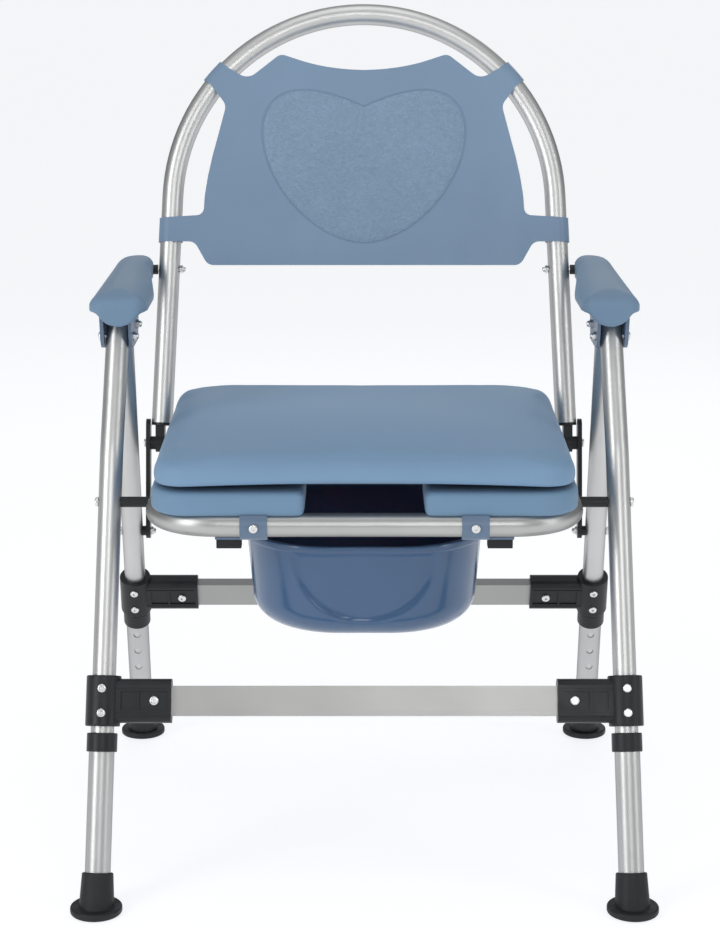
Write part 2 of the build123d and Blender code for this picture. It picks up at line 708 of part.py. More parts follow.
def pail_rail():
    """A channel for the pail's wing, with a clip round the front tube and a hook at the rear tube."""
    rear_y = RAIL_Y[1]
    rail = block(RAIL_X, RAIL_Y, RAIL_Z)
    rail -= block((RAIL_X[0] - 1, RAIL_X[1] - RAIL_WALL), RAIL_Y, (RAIL_Z[0] + RAIL_WALL, RAIL_Z[1] - RAIL_WALL))
    strap = block((CLIP_X[0], RAIL_X[1]), (SEAT_FRONT_Y, RAIL_Y[0] + 20), (RAIL_Z[1] - RAIL_WALL, RAIL_Z[1]))
    collar = x_rod(*CLIP_X, (SEAT_FRONT_Y, SEAT_Z), TUBE_R + CLIP_WALL)
    collar -= block(RAIL_CUT_X, (SEAT_FRONT_Y - 2, RAIL_Y[0]), (SEAT_Z - 3, RING_Z[1]))
    hook = x_rod(RAIL_X[0], RAIL_X[1], (CROSS_TUBE_Y, SEAT_Z), TUBE_R + CLIP_WALL)
    hook -= block(RAIL_CUT_X, CUT_Y, (SEAT_Z + 4, RING_Z[1]))
    hook -= block(RAIL_CUT_X, (CROSS_TUBE_Y - 20, rear_y), (RAIL_Z[0], RAIL_Z[1] - RAIL_WALL))
    body = rail + strap + collar + hook
    body -= x_rod(*RAIL_CUT_X, (SEAT_FRONT_Y, SEAT_Z), TUBE_R)
    body -= x_rod(*RAIL_CUT_X, (CROSS_TUBE_Y, SEAT_Z), TUBE_R)
    body -= block(RAIL_CUT_X, CUT_Y, (RING_Z[0] - 0.5, RING_Z[1]))
    return body - clip_screw_body()


def rail_stops():
    """Black end blocks that close the front of each rail."""
    stop = block((RAIL_X[0] - 2, RAIL_X[1]), STOP_Y, (RAIL_Z[0], RAIL_Z[1] - RAIL_WALL))
    return both_sides([fillet(stop.edges().filter_by(Axis.Y), 1)])


# ---------------------------------------------------------------- armrests
def bracket_plate(x0, x1):
    """One side plate of an armrest bracket, with a deep ear round the two leg tops."""
    rear = BRACKET_Y[1]
    front = BRACKET_Y[0]
    points = [(front, BRACKET_TOP), (rear, BRACKET_TOP), (rear, 602), (304, 602), (290, 562), (222, 562)]
    return side_plate(points, [0, 0, 6, 20, 14, 18], x0, x1)


def armrest_bracket():
    plates = bracket_plate(EAR_X[0], EAR_X[1]) + bracket_plate(EAR_X[2], EAR_X[3])
    top = block((EAR_X[0], EAR_X[3]), BRACKET_Y, (BRACKET_TOP - BRACKET_PLATE, BRACKET_TOP))
    body = plates + top
    for place in (FRONT_TOP[1:], REAR_TOP[1:], HOOP_PIVOT):
        body -= x_rod(*CUT_X, place, BOLT_R)
    return body


def armrest_pad():
    """The soft armrest: wide in front, narrower at the rear, with a drooping rounded nose."""
    outline = [
        (PAD_OUTER_X, PAD_Y[0]),
        (PAD_OUTER_X, PAD_Y[1]),
        (PAD_INNER_X[1], PAD_Y[1]),
        (PAD_INNER_X[1], PAD_TAPER_Y[1]),
        (PAD_INNER_X[0], PAD_TAPER_Y[0]),
        (PAD_INNER_X[0], PAD_Y[0]),
    ]
    corners = [at(x, y, PAD_SKIRT) for x, y in outline]
    face = make_face(Polyline(*corners, close=True))
    for corner, radius in zip(corners, PAD_CORNERS):
        face = fillet(face.vertices().sort_by_distance(corner)[0], radius)
    pad = extrude(face, amount=PAD_TOP - PAD_SKIRT, dir=(0, 0, 1))
    pad = fillet(pad.edges().group_by(Axis.Z)[-1], PAD_TOP_ROUND)
    nose_front = at(NOSE_CENTRE[0], PAD_Y[0] + 1, NOSE_CENTRE[1])
    nose_rear = at(NOSE_CENTRE[0], PAD_Y[0] + 1 + NOSE_DEPTH, NOSE_CENTRE[1])
    nose = rod(nose_front, nose_rear, NOSE_R)
    nose -= block(CUT_X, CUT_Y, (PAD_SKIRT + 2, CUT_TOP))
    pad += nose
    pocket = block((EAR_X[0], EAR_X[3]), BRACKET_Y, (PAD_SKIRT - 1, BRACKET_TOP))
    pad -= pocket
    spacer_way = block((CUT_X[0], EAR_X[0] + 1), (HOOP_PIVOT[0] - SPACER_R, CUT_Y[1]), (PAD_SKIRT - 1, HOOP_PIVOT[1]))
    return pad - spacer_way - x_rod(CUT_X[0], EAR_X[2], HOOP_PIVOT, SPACER_R)


def arm_bolts():
    """Bolts through the bracket's ears at the tops of the front and rear legs."""
    bolts = []
    for place in (FRONT_TOP[1:], REAR_TOP[1:]):
        bolts += x_bolt(EAR_X[3], EAR_X[0], place)
    return bolts


def hoop_pivot_hardware():
    """The bolt from the bracket's inner plate through the hoop, and the black spacer between."""
    hoop_x = hoop_centre_x(0)
    start = at(EAR_X[1], *HOOP_PIVOT)
    end_x = hoop_x - TUBE_R - 0.6 - NUT_H
    bolt = rod(at(end_x, *HOOP_PIVOT), start, BOLT_R) + x_rod(EAR_X[1], EAR_X[1] + 3, HOOP_PIVOT, FLAT_HEAD_R)
    nut = cap_nut(hoop_x - TUBE_R - 0.6, HOOP_PIVOT, True)
    spacer = washer(hoop_x + TUBE_R + HOOP_SIDE_CLEAR, EAR_X[0], HOOP_PIVOT, SPACER_R)
    return [bolt, nut], [spacer]


# ---------------------------------------------------------------- back hoop and sheet
def hoop_plane(forward=0):
    """The plane of the hoop: x along X, y up the lean, origin between the two armrest pivots."""
    lean = radians(HOOP_LEAN)
    up = Vector(0, sin(lean), cos(lean))
    face = Vector(0, -cos(lean), sin(lean))
    origin = at(0, *HOOP_PIVOT) + face * forward
    return Plane(origin=origin, x_dir=(1, 0, 0), z_dir=face)


def hoop_drop():
    """Distance down the hoop's plane from the armrest pivot to the lower pivot."""
    lean = radians(HOOP_LEAN)
    down_y = HOOP_PIVOT[0] - HOOP_END[0]
    down_z = HOOP_PIVOT[1] - HOOP_END[1]
    return down_y * sin(lean) + down_z * cos(lean)


def hoop_tangent():
    """Where the straight side of the hoop, rising from its lower end, meets the arc."""
    x = HOOP_END_X
    y = -hoop_drop() - HOOP_RISE
    turn = acos(HOOP_RADIUS / sqrt(x * x + y * y)) + atan2(y, x)
    return HOOP_RADIUS * cos(turn), HOOP_RISE + HOOP_RADIUS * sin(turn)


def hoop_centre_x(height):
    """Half-spread of the hoop's straight sides at a height up its plane."""
    tx, ty = hoop_tangent()
    low = -hoop_drop()
    return HOOP_END_X + (tx - HOOP_END_X) * (height - low) / (ty - low)


def hoop_path(cut):
    tx, ty = hoop_tangent()
    low = -hoop_drop() + cut
    start_x = hoop_centre_x(low)
    plane = hoop_plane()
    points = [(start_x, low), (tx, ty), (0, HOOP_RISE + HOOP_RADIUS), (-tx, ty), (-start_x, low)]
    a, b, top, c, d = [plane.from_local_coords(Vector(x, y, 0)) for x, y in points]
    return Wire([Line(a, b).edge(), ThreePointArc(b, top, c).edge(), Line(c, d).edge()])


def hoop_envelope():
    return swept_rod(hoop_path(HOOP_CUT), TUBE_R)


def back_hoop():
    hoop = swept_tube(hoop_path(HOOP_CUT), TUBE_R, TUBE_BORE)
    for sign in SIDES.values():
        hoop -= on_side(x_rod(*CUT_X, HOOP_PIVOT, BOLT_R + PIVOT_GAP), sign)
    return hoop


def hoop_end():
    """A black end fitting: a plug in the hoop tube and a flat eye at the lower pivot."""
    low = -hoop_drop() + HOOP_CUT
    plane = hoop_plane()
    tube_end = plane.from_local_coords(Vector(hoop_centre_x(low), low, 0))
    inside = plane.from_local_coords(Vector(hoop_centre_x(low + 20), low + 20, 0))
    along = (inside - tube_end).normalized()
    plug = rod(tube_end, inside, TUBE_BORE) + rod(tube_end - along * 3, tube_end, TUBE_R)
    eye = x_rod(EYE_X[0], EYE_X[1] - 6, HOOP_END, EYE_R)
    boss = x_rod(EYE_X[1] - 6, EYE_X[1], HOOP_END, EYE_R - 3)
    neck_place = plane.from_local_coords(Vector(0, -hoop_drop() + HOOP_CUT / 2, 0))
    neck_plane = Plane(origin=neck_place, x_dir=(1, 0, 0), z_dir=plane.z_dir)
    middle = (EYE_X[0] + EYE_X[1] - 6) / 2
    neck = neck_plane * Pos(middle, 0, 0) * Box(EYE_X[1] - 6 - EYE_X[0], HOOP_CUT, 2 * EYE_R - 3)
    return plug + eye + boss + neck


def heart_half(scale, sign):
    """One side of a plain heart with a rounded tip, from the notch down to the tip."""
    points = []
    steps = 24
    for step in range(steps + 1):
        turn = pi * step / steps
        x = HEART_HALF_WIDTH * sin(turn) * (1 + HEART_TAPER * cos(turn))
        y = HEART_DROP * cos(turn) + HEART_LOBE * sin(turn) * ((1 + cos(turn)) / 2) ** 2
        points.append((sign * x * scale, HEART_Y + y * scale))
    return points


def heart_face(scale):
    sides = [Spline(*heart_half(scale, sign)) for sign in SIDES.values()]
    return make_face(sides)


def heart_groove():
    return heart_face(1) - heart_face(1 - GROOVE / HEART_DROP)


def sheet_top(x):
    """A corner of the hollow top edge, which rises evenly from the dip."""
    return (x, SHEET_DIP + SHEET_RISE * (x / SHEET_RISE_X) ** 2), SHEET_TOP_ROUND


def sheet_side(y):
    """A corner of the bowed side edge, between the upper and the lower tab."""
    low, high = SHEET_WAIST_Y
    part = (y - low) / (high - low)
    return (SHEET_WAIST_X - SHEET_WAIST * part ** 1.5, y), SHEET_SIDE_ROUND


def sheet_outline():
    """Half of the backrest sheet on the sitter's left, from the top dip round to the bottom middle."""
    upper_tab = [
        ((100, 257.5), 11),
        ((139, 227), 16),
        ((163, 241), 3),
        ((182, 219), 3),
        ((165, 196), 14),
    ]
    lower_tab = [
        ((192, 64), 9),
        ((234, 61.5), 3),
        ((234, 32.5), 3),
        ((203, 32.5), 12),
        ((187, 4), 12),
    ]
    top = [((0, SHEET_DIP), 0)] + [sheet_top(x) for x in SHEET_TOP_STEPS]
    side = [sheet_side(y) for y in SHEET_SIDE_STEPS]
    return top + upper_tab + side + lower_tab + [((0, 4), 0)]


def half_sheet(sign):
    rows = [((sign * x, y), radius) for (x, y), radius in sheet_outline()]
    face = make_face(Polyline(*[point for point, radius in rows], close=True))
    for point, radius in rows:
        if radius:
            face = fillet(face.vertices().sort_by_distance((point[0], point[1], 0))[0], radius)
    return face


def sheet_wraps():
    """Tabs that close round the hoop at the two lower and two upper corners of the sheet."""
    outer = swept_rod(hoop_path(HOOP_CUT), TUBE_R + TAB_WALL)
    low_tab = Pos(*LOW_TAB) * Box(*TAB_BOX)
    high_tab = Pos(*HIGH_TAB) * Rot(0, 0, HIGH_TAB_TURN) * Box(*TAB_BOX)
    zone = low_tab + high_tab
    zone += mirror(zone, about=Plane.YZ)
    return outer & (hoop_plane() * zone)


def backrest_sheet():
    """A moulded sheet in front of the hoop, with wraps round the tube and a heart-shaped groove."""
    face = half_sheet(1) + half_sheet(-1)
    plane = hoop_plane(TUBE_R + TAB_WALL - SHEET)
    sheet = plane * extrude(face, amount=SHEET)
    body = sheet + sheet_wraps()
    groove_plane = hoop_plane(TUBE_R + TAB_WALL - GROOVE_DEPTH)
    body -= groove_plane * extrude(heart_groove(), amount=SHEET)
    return body - hoop_envelope()


# ---------------------------------------------------------------- fold links
def fold_link():
    """A flat bar from the rear leg up to the lower end of the hoop, with a short tail beyond it."""
    low = Vector(0, *LINK_PIVOT)
    high = Vector(0, *HOOP_END)
    direction = (high - low).normalized()
    tail = high + direction * LINK_TAIL
    across = Vector(0, direction.Z, -direction.Y) * LINK_HALF_WIDTH
    corners = [low + across, tail + across, tail - across, low - across]
    face = make_face(Polyline(*[at(LINK_X[0], p.Y, p.Z) for p in corners], close=True))
    bar = extrude(face, amount=LINK_X[1] - LINK_X[0], dir=(1, 0, 0))
    bar += x_rod(*LINK_X, LINK_PIVOT, LINK_HALF_WIDTH)
    bar += x_rod(*LINK_X, (tail.Y, tail.Z), LINK_HALF_WIDTH)
    bar -= x_rod(*LINK_X, LINK_PIVOT, BOLT_R + PIVOT_GAP)
    return bar - x_rod(*LINK_X, HOOP_END, BOLT_R)


def link_hardware():
    """The bolt through the rear leg and the link's lower eye, and the washer between them."""
    leg_x = leg_centre_x(REAR_FOOT, REAR_TOP, LINK_PIVOT[1])
    bolt = x_bolt(leg_x + TUBE_R + 0.4, LINK_X[0] - SIDE_CLEAR, LINK_PIVOT)
    spacer = washer(LINK_X[1] + SIDE_CLEAR, leg_x, LINK_PIVOT, SPACER_R)
    spacer -= rod(REAR.foot, REAR.point(LEG_REACH), TUBE_R)
    return bolt, [spacer]


def link_rivet():
    """A rivet in the link's upper eye, flush inside so that it passes the hoop's end fitting."""
    head = x_rod(LINK_X[1], LINK_X[1] + 3, HOOP_END, BOLT_HEAD_R)
    head = fillet(head.edges().sort_by_distance(at(LINK_X[1] + 3, *HOOP_END))[0], 1.5)
    return [head + x_rod(*LINK_X, HOOP_END, BOLT_R)]


def hoop_seat_pins():
    """Pins from the seat tube's rear ends out to the hoop's end fittings, with a black boss."""
    pin = x_rod(SEAT_X - TUBE_R - 3, EYE_X[0] - SIDE_CLEAR, HOOP_END, BOLT_R)
    boss = washer(SEAT_X, EYE_X[0] - SIDE_CLEAR, HOOP_END, SPACER_R + 2)
    boss -= rod(at(SEAT_X, CUT_Y[0], SEAT_Z), at(SEAT_X, CUT_Y[1], SEAT_Z), TUBE_R)
    return [pin], [boss]


# ---------------------------------------------------------------- all nodes
def save(name, shape):
    export_step(shape, f"parts/{name}.step")


def save_pair(name, shape):
    for side, sign in SIDES.items():
        save(f"{name}_{side}", on_side(shape, sign))


def leg_bolts(leg):
    """The bolt that each leg of the frame holds besides its connector's screws."""
    return seat_pivot_hardware()[0] if leg is FRONT else link_hardware()[0]


def save_legs():
    save_pair("front_leg", front_leg())
    save_pair("rear_leg", rear_leg())
    for leg in LEGS:
        save_pair(f"lower_leg_{leg.name}", lower_leg(leg))
        save_pair(f"leg_collar_{leg.name}", leg_collar(leg))
        save_pair(f"foot_{leg.name}", foot(leg))
        save_pair(f"spring_button_{leg.name}", spring_button(leg))
        save(f"button_springs_{leg.name}", both_sides([button_spring(leg)]))
        save_pair(f"connector_{leg.name}", connector(leg))
        save(f"crossbar_{leg.name}", crossbar(leg))
        seats, forward = connector_screw_seats(leg)
        size = (SCREW_HEAD_R, SCREW_HEAD_H, SCREW_R, SCREW_DEPTH)
        screws = [button_screw(seat, forward, *size) for seat in seats]
        save(f"{leg.name}_frame_fasteners", both_sides(screws + arm_bolt(leg) + leg_bolts(leg)))
    front_end = front_leg_path()
    save("leg_plugs_front", both_sides([leg_plug(front_end @ 1, front_end % 1)]))
    save("leg_plugs_rear", both_sides([leg_plug(rear_leg_ends()[1], REAR.axis)]))


def save_seat():
    save("seat_pivot_spacers", both_sides(seat_pivot_hardware()[1]))
    pins, bosses = hoop_seat_pins()
    save("seat_frame", seat_frame())
    save("seat_tube_plugs", both_sides(seat_plug() + bosses))
    save("seat_fasteners", both_sides(pins + hinge_pin() + clip_screw()))
    save("seat_ring_base", seat_ring_base())
    save("seat_ring_pad", seat_ring_pad())
    save("lid_base", lid_base())
    save("lid_pad", lid_pad())
    save("lid_hinge_lugs", hinge_lugs())
    save("pail", pail())
    save_pair("pail_rail", pail_rail())
    save("rail_stops", rail_stops())


def save_back_and_arms():
    save_pair("armrest_bracket", armrest_bracket())
    save_pair("armrest_pad", armrest_pad())
    bolts, spacers = hoop_pivot_hardware()
    save("armrest_bolts", both_sides(arm_bolts() + bolts))
    save("hoop_pivot_spacers", both_sides(spacers))
    save("back_hoop", back_hoop())
    save_pair("hoop_end", hoop_end())
    save("backrest_sheet", backrest_sheet())
    save_pair("fold_link", fold_link())
    save("link_spacers", both_sides(link_hardware()[1]))
    save("link_rivets", both_sides(link_rivet()))


def main():
    os.makedirs("parts", exist_ok=True)
    save_legs()
    save_seat()
    save_back_and_arms()


if __name__ == "__main__":
    main()
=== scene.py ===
import json
import math

import bmesh
import bpy
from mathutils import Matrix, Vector


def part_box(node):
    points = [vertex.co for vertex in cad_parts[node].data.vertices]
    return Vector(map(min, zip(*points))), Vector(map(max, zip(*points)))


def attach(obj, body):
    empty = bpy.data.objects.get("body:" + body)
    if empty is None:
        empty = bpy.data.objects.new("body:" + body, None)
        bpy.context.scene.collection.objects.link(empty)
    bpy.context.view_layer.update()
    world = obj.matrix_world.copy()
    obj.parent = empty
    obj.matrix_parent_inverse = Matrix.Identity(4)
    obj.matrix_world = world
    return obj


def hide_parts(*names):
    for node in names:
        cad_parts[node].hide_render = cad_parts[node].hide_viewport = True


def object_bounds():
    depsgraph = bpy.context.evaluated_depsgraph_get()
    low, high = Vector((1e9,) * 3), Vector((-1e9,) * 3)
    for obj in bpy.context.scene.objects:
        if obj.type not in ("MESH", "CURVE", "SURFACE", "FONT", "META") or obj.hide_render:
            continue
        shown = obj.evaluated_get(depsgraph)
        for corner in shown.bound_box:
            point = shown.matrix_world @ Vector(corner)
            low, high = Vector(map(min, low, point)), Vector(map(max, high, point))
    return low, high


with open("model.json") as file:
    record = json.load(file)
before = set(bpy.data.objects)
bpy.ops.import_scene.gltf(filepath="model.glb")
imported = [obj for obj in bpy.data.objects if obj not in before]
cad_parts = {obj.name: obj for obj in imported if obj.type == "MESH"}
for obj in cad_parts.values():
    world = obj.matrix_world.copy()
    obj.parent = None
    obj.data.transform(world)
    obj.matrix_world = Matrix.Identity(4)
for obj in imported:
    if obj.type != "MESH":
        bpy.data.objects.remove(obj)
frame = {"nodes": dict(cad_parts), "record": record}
cad_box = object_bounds()

MM = 0.001
NODES = frame["nodes"]
STUDIO_WHITE = (0.97, 0.98, 1.0, 1)
FLOOR_REACH = 80
FLOOR_GAP = 0.0004


# ---------------------------------------------------------------- shared helpers
def show(name, data):
    """Makes an object of `data` and puts it in the scene."""
    made = bpy.data.objects.new(name, data)
    bpy.context.scene.collection.objects.link(made)
    return made


def finish_mesh(name, mesh, smooth_count, material):
    """Makes an object of a bmesh, with its first `smooth_count` faces shaded smooth."""
    bmesh.ops.recalc_face_normals(mesh, faces=mesh.faces)
    data = bpy.data.meshes.new(name)
    mesh.to_mesh(data)
    mesh.free()
    for polygon in data.polygons:
        polygon.use_smooth = polygon.index < smooth_count
    data.materials.append(material)
    return show(name, data)


def join_rings(mesh, rings):
    """Skins closed rings of vertices with quads, and gives the number of them."""
    steps = len(rings[0])
    for outer, inner in zip(rings, rings[1:]):
        for index in range(steps):
            after = (index + 1) % steps
            mesh.faces.new((outer[index], outer[after], inner[after], inner[index]))
    return steps * (len(rings) - 1)


def share(value, low, high):
    """Where a value lies between low and high, from 0 to 1."""
    return min(max((value - low) / (high - low), 0), 1)


# ---------------------------------------------------------------- camera, lights and floor
def add_camera():
    data = bpy.data.cameras.new("camera")
    data.sensor_width = 36
    data.lens = 86.87
    data.clip_end = 200
    camera = show("camera", data)
    camera.location = (-0.0048, -2.4634, 1.0104)
    camera.rotation_euler = (math.radians(76.552), 0, 0)
    bpy.context.scene.camera = camera


def add_area(name, place, size, power):
    """A rectangular softbox that faces the middle of the chair."""
    data = bpy.data.lights.new(name, "AREA")
    data.shape = "RECTANGLE"
    data.size, data.size_y = size
    data.energy = power
    lamp = show(name, data)
    lamp.location = place
    direction = Vector((0, 0, 0.5)) - Vector(place)
    lamp.rotation_euler = direction.to_track_quat("-Z", "Y").to_euler()


def add_lights():
    add_area("top_softbox", (0, -0.2, 3.0), (1.8, 1.8), 11)
    add_area("left_softbox", (-2.2, -1.9, 1.5), (0.9, 2.4), 33)
    add_area("right_softbox", (2.4, -1.2, 1.3), (0.6, 2.4), 13)
    add_area("front_softbox", (0.5, -3.8, 2.1), (1.6, 1.2), 24)
    add_area("rear_softbox", (0.3, 2.6, 1.7), (2.2, 0.9), 10)
    add_world()


def add_world():
    """A studio that is bright overhead and greyer near the horizon."""
    world = bpy.data.worlds.new("studio")
    world.use_nodes = True
    bpy.context.scene.world = world
    tree = world.node_tree
    place = tree.nodes.new("ShaderNodeTexCoord")
    split = tree.nodes.new("ShaderNodeSeparateXYZ")
    ramp = tree.nodes.new("ShaderNodeValToRGB")
    tree.links.new(place.outputs["Generated"], split.inputs[0])
    tree.links.new(split.outputs["Z"], ramp.inputs[0])
    tree.links.new(ramp.outputs[0], tree.nodes["Background"].inputs["Color"])
    low, high = ramp.color_ramp.elements
    low.position, high.position = 0.02, 0.75
    low.color = (0.30, 0.31, 0.32, 1)
    high.color = (0.72, 0.74, 0.76, 1)
    tree.nodes["Background"].inputs["Strength"].default_value = 0.6


def add_floor():
    mesh = bpy.data.meshes.new("floor")
    corners = [(x * FLOOR_REACH, y * FLOOR_REACH, 0) for x, y in ((-1, -1), (1, -1), (1, 1), (-1, 1))]
    mesh.from_pydata(corners, [], [(0, 1, 2, 3)])
    floor = show("floor", mesh)
    floor.location.z = cad_box[0][2] - FLOOR_GAP
    paint = Shader("floor_pale", (0.30, 0.302, 0.305), 0.7)
    paint.set("Specular IOR Level", 0.1)
    paint.set("Emission Color", STUDIO_WHITE)
    paint.set("Emission Strength", 0.80)
    mesh.materials.append(paint.material)


def add_backdrop():
    """A far round wall that only the camera sees, so the floor has no dark horizon behind it."""
    mesh = bpy.data.meshes.new("backdrop")
    radius, bottom, top, sides = 45, -1, 40, 96
    corners, faces = [], []
    for z in (bottom, top):
        for side in range(sides):
            turn = 2 * math.pi * side / sides
            corners.append((radius * math.cos(turn), radius * math.sin(turn), z))
    for side in range(sides):
        after = (side + 1) % sides
        faces.append((side, after, sides + after, sides + side))
    mesh.from_pydata(corners, [], faces)
    paint = Shader("backdrop_pale", (0, 0, 0), 1)
    paint.set("Specular IOR Level", 0)
    paint.set("Emission Color", STUDIO_WHITE)
    paint.set("Emission Strength", 0.94)
    mesh.materials.append(paint.material)
    wall = show("backdrop", mesh)
    wall.visible_diffuse = False
    wall.visible_glossy = False
    wall.visible_transmission = False
    wall.visible_shadow = False


# ---------------------------------------------------------------- material helpers
class Shader:
    """A principled material with small helpers for its procedural nodes."""

    def __init__(self, name, color, roughness, metallic=0.0):
        self.material = bpy.data.materials.new(name)
        self.material.use_nodes = True
        self.tree = self.material.node_tree
        self.bsdf = self.tree.nodes["Principled BSDF"]
        self.color = color
        self.set("Base Color", (*color, 1))
        self.set("Roughness", roughness)
        self.set("Metallic", metallic)
        self.place = self.node("ShaderNodeTexCoord").outputs["Object"]
        self.last_normal = None

    def set(self, name, value):
        self.bsdf.inputs[name].default_value = value

    def node(self, kind, **settings):
        made = self.tree.nodes.new(kind)
        for name, value in settings.items():
            setattr(made, name, value)
        return made

    def link(self, source, target):
        self.tree.links.new(source, target)

    def total(self, a, b):
        made = self.node("ShaderNodeMath", operation="ADD")
        self.link(a, made.inputs[0])
        self.link(b, made.inputs[1])
        return made.outputs[0]

    def noise(self, scale, detail, stretch=(1, 1, 1), distortion=0.0):
        """Noise in object space. Scale counts features per metre before stretch."""
        mapping = self.node("ShaderNodeMapping")
        mapping.inputs["Scale"].default_value = stretch
        self.link(self.place, mapping.inputs["Vector"])
        made = self.node("ShaderNodeTexNoise")
        made.inputs["Scale"].default_value = scale
        made.inputs["Detail"].default_value = detail
        made.inputs["Distortion"].default_value = distortion
        self.link(mapping.outputs[0], made.inputs["Vector"])
        return made.outputs["Fac"]

    def cells(self, scale):
        """The distance to the edge of the nearest of many small cells."""
        made = self.node("ShaderNodeTexVoronoi", feature="DISTANCE_TO_EDGE")
        made.inputs["Scale"].default_value = scale
        self.link(self.place, made.inputs["Vector"])
        return made.outputs["Distance"]

    def spread(self, factor, low, high, start=0.3, end=0.7):
        """Maps start..end of a factor to low..high."""
        made = self.node("ShaderNodeMapRange")
        for name, value in (("From Min", start), ("From Max", end), ("To Min", low), ("To Max", high)):
            made.inputs[name].default_value = value
        self.link(factor, made.inputs["Value"])
        return made.outputs[0]

    def tint(self, factor, darker, lighter):
        """Varies the base colour between two multiples of itself."""
        made = self.node("ShaderNodeMix", data_type="RGBA")
        made.inputs[6].default_value = (*[c * darker for c in self.color], 1)
        made.inputs[7].default_value = (*[c * lighter for c in self.color], 1)
        self.link(factor, made.inputs[0])
        self.link(made.outputs[2], self.bsdf.inputs["Base Color"])

    def rough(self, value):
        self.link(value, self.bsdf.inputs["Roughness"])

    def bump(self, height, depth, strength):
        """Adds a bump of `depth` metres on top of any bump already there."""
        made = self.node("ShaderNodeBump")
        made.inputs["Strength"].default_value = strength
        made.inputs["Distance"].default_value = depth
        self.link(height, made.inputs["Height"])
        if self.last_normal:
            self.link(self.last_normal, made.inputs["Normal"])
        self.last_normal = made.outputs[0]
        self.link(self.last_normal, self.bsdf.inputs["Normal"])


# ---------------------------------------------------------------- materials
def anodised(name, color, roughness, stretch):
    """Satin anodised aluminium with faint draw lines along the tube."""
    shader = Shader(name, color, roughness, 1.0)
    lines = shader.noise(900, 3, stretch)
    clouds = shader.noise(14, 2)
    shader.tint(shader.spread(clouds, 0, 1), 0.94, 1.03)
    shader.rough(shader.spread(lines, roughness - 0.01, roughness + 0.015))
    shader.bump(lines, 0.000001, 0.05)
    shader.set("Specular Tint", (0.40, 0.40, 0.41, 1))
    return shader.material


def black_nylon():
    shader = Shader("black_nylon", (0.010, 0.0125, 0.0135), 0.42)
    shader.set("Specular IOR Level", 0.36)
    grain = shader.noise(1800, 2)
    clouds = shader.noise(25, 3)
    shader.tint(shader.spread(clouds, 0, 1), 0.8, 1.35)
    shader.rough(shader.spread(clouds, 0.34, 0.5))
    shader.bump(grain, 0.00005, 0.5)
    return shader.material


def black_rubber():
    shader = Shader("black_rubber", (0.012, 0.0145, 0.015), 0.55)
    shader.set("Specular IOR Level", 0.36)
    grain = shader.noise(1200, 3)
    scuffs = shader.noise(60, 5, (1, 1, 0.4))
    dust = shader.spread(scuffs, 0, 1, start=0.5, end=0.8)
    shader.tint(dust, 0.9, 2.1)
    shader.rough(shader.spread(scuffs, 0.45, 0.7))
    shader.bump(grain, 0.00008, 0.6)
    return shader.material


def screw_steel(name, color, roughness):
    shader = Shader(name, color, roughness, 1.0)
    spots = shader.noise(300, 4)
    shader.tint(shader.spread(spots, 0, 1), 0.86, 1.05)
    shader.rough(shader.spread(spots, roughness - 0.06, roughness + 0.12))
    shader.bump(spots, 0.00003, 0.5)
    return shader.material


def moulded_foam(name, color):
    """Integral-skin foam: satin blue skin with a very fine pebble and faint mottling."""
    shader = Shader(name, color, 0.56)
    shader.set("Specular IOR Level", 0.24)
    shader.set("Sheen Weight", 0.06)
    shader.set("Sheen Roughness", 0.5)
    mottle = shader.noise(9, 3)
    shader.tint(shader.spread(mottle, 0, 1), 0.965, 1.035)
    fine = shader.noise(700, 3)
    pebble = shader.cells(900)
    shader.rough(shader.spread(mottle, 0.52, 0.62))
    shader.bump(pebble, 0.00004, 0.35)
    shader.bump(fine, 0.00006, 0.3)
    return shader.material


def sheet_plastic():
    """The backrest sheet: smooth satin plastic with faint mottling."""
    shader = Shader("sheet_plastic", (0.172, 0.258, 0.372), 0.45)
    shader.set("Specular IOR Level", 0.45)
    mottle = shader.noise(8, 3)
    streaks = shader.noise(40, 3, (1, 1, 0.25))
    fine = shader.noise(900, 2)
    shader.tint(shader.spread(mottle, 0, 1), 0.965, 1.035)
    shader.rough(shader.spread(streaks, 0.4, 0.5))
    shader.bump(fine, 0.00004, 0.35)
    shader.bump(mottle, 0.0008, 0.12)
    return shader.material


def heart_plastic():
    """The heart panel: the same plastic with a wrinkled leather grain moulded in."""
    shader = Shader("heart_plastic", (0.196, 0.288, 0.402), 0.56)
    wrinkles = shader.noise(230, 5, (1, 1, 1.5), 1.2)
    creases = shader.cells(480)
    clouds = shader.noise(18, 4, distortion=0.8)
    mottle = shader.total(shader.spread(clouds, -0.15, 0.15), shader.spread(wrinkles, 0, 1))
    shader.tint(mottle, 0.86, 1.1)
    shader.rough(shader.spread(wrinkles, 0.48, 0.64))
    shader.bump(creases, 0.0004, 0.6)
    shader.bump(wrinkles, 0.0012, 0.9)
    return shader.material


def pail_plastic():
    """Glossy, slightly translucent blue-grey plastic."""
    shader = Shader("pail_plastic", (0.060, 0.130, 0.258), 0.2)
    shader.set("Transmission Weight", 0.12)
    shader.set("IOR", 1.47)
    shader.set("Coat Weight", 0.25)
    shader.set("Coat Roughness", 0.08)
    shader.set("Subsurface Weight", 0.15)
    shader.set("Subsurface Scale", 0.01)
    waves = shader.noise(6, 2)
    scuff = shader.noise(220, 4, (1, 1, 0.3))
    shader.tint(shader.spread(waves, 0, 1), 0.94, 1.06)
    shader.rough(shader.spread(scuff, 0.14, 0.26))
    shader.bump(waves, 0.0012, 0.25)
    return shader.material


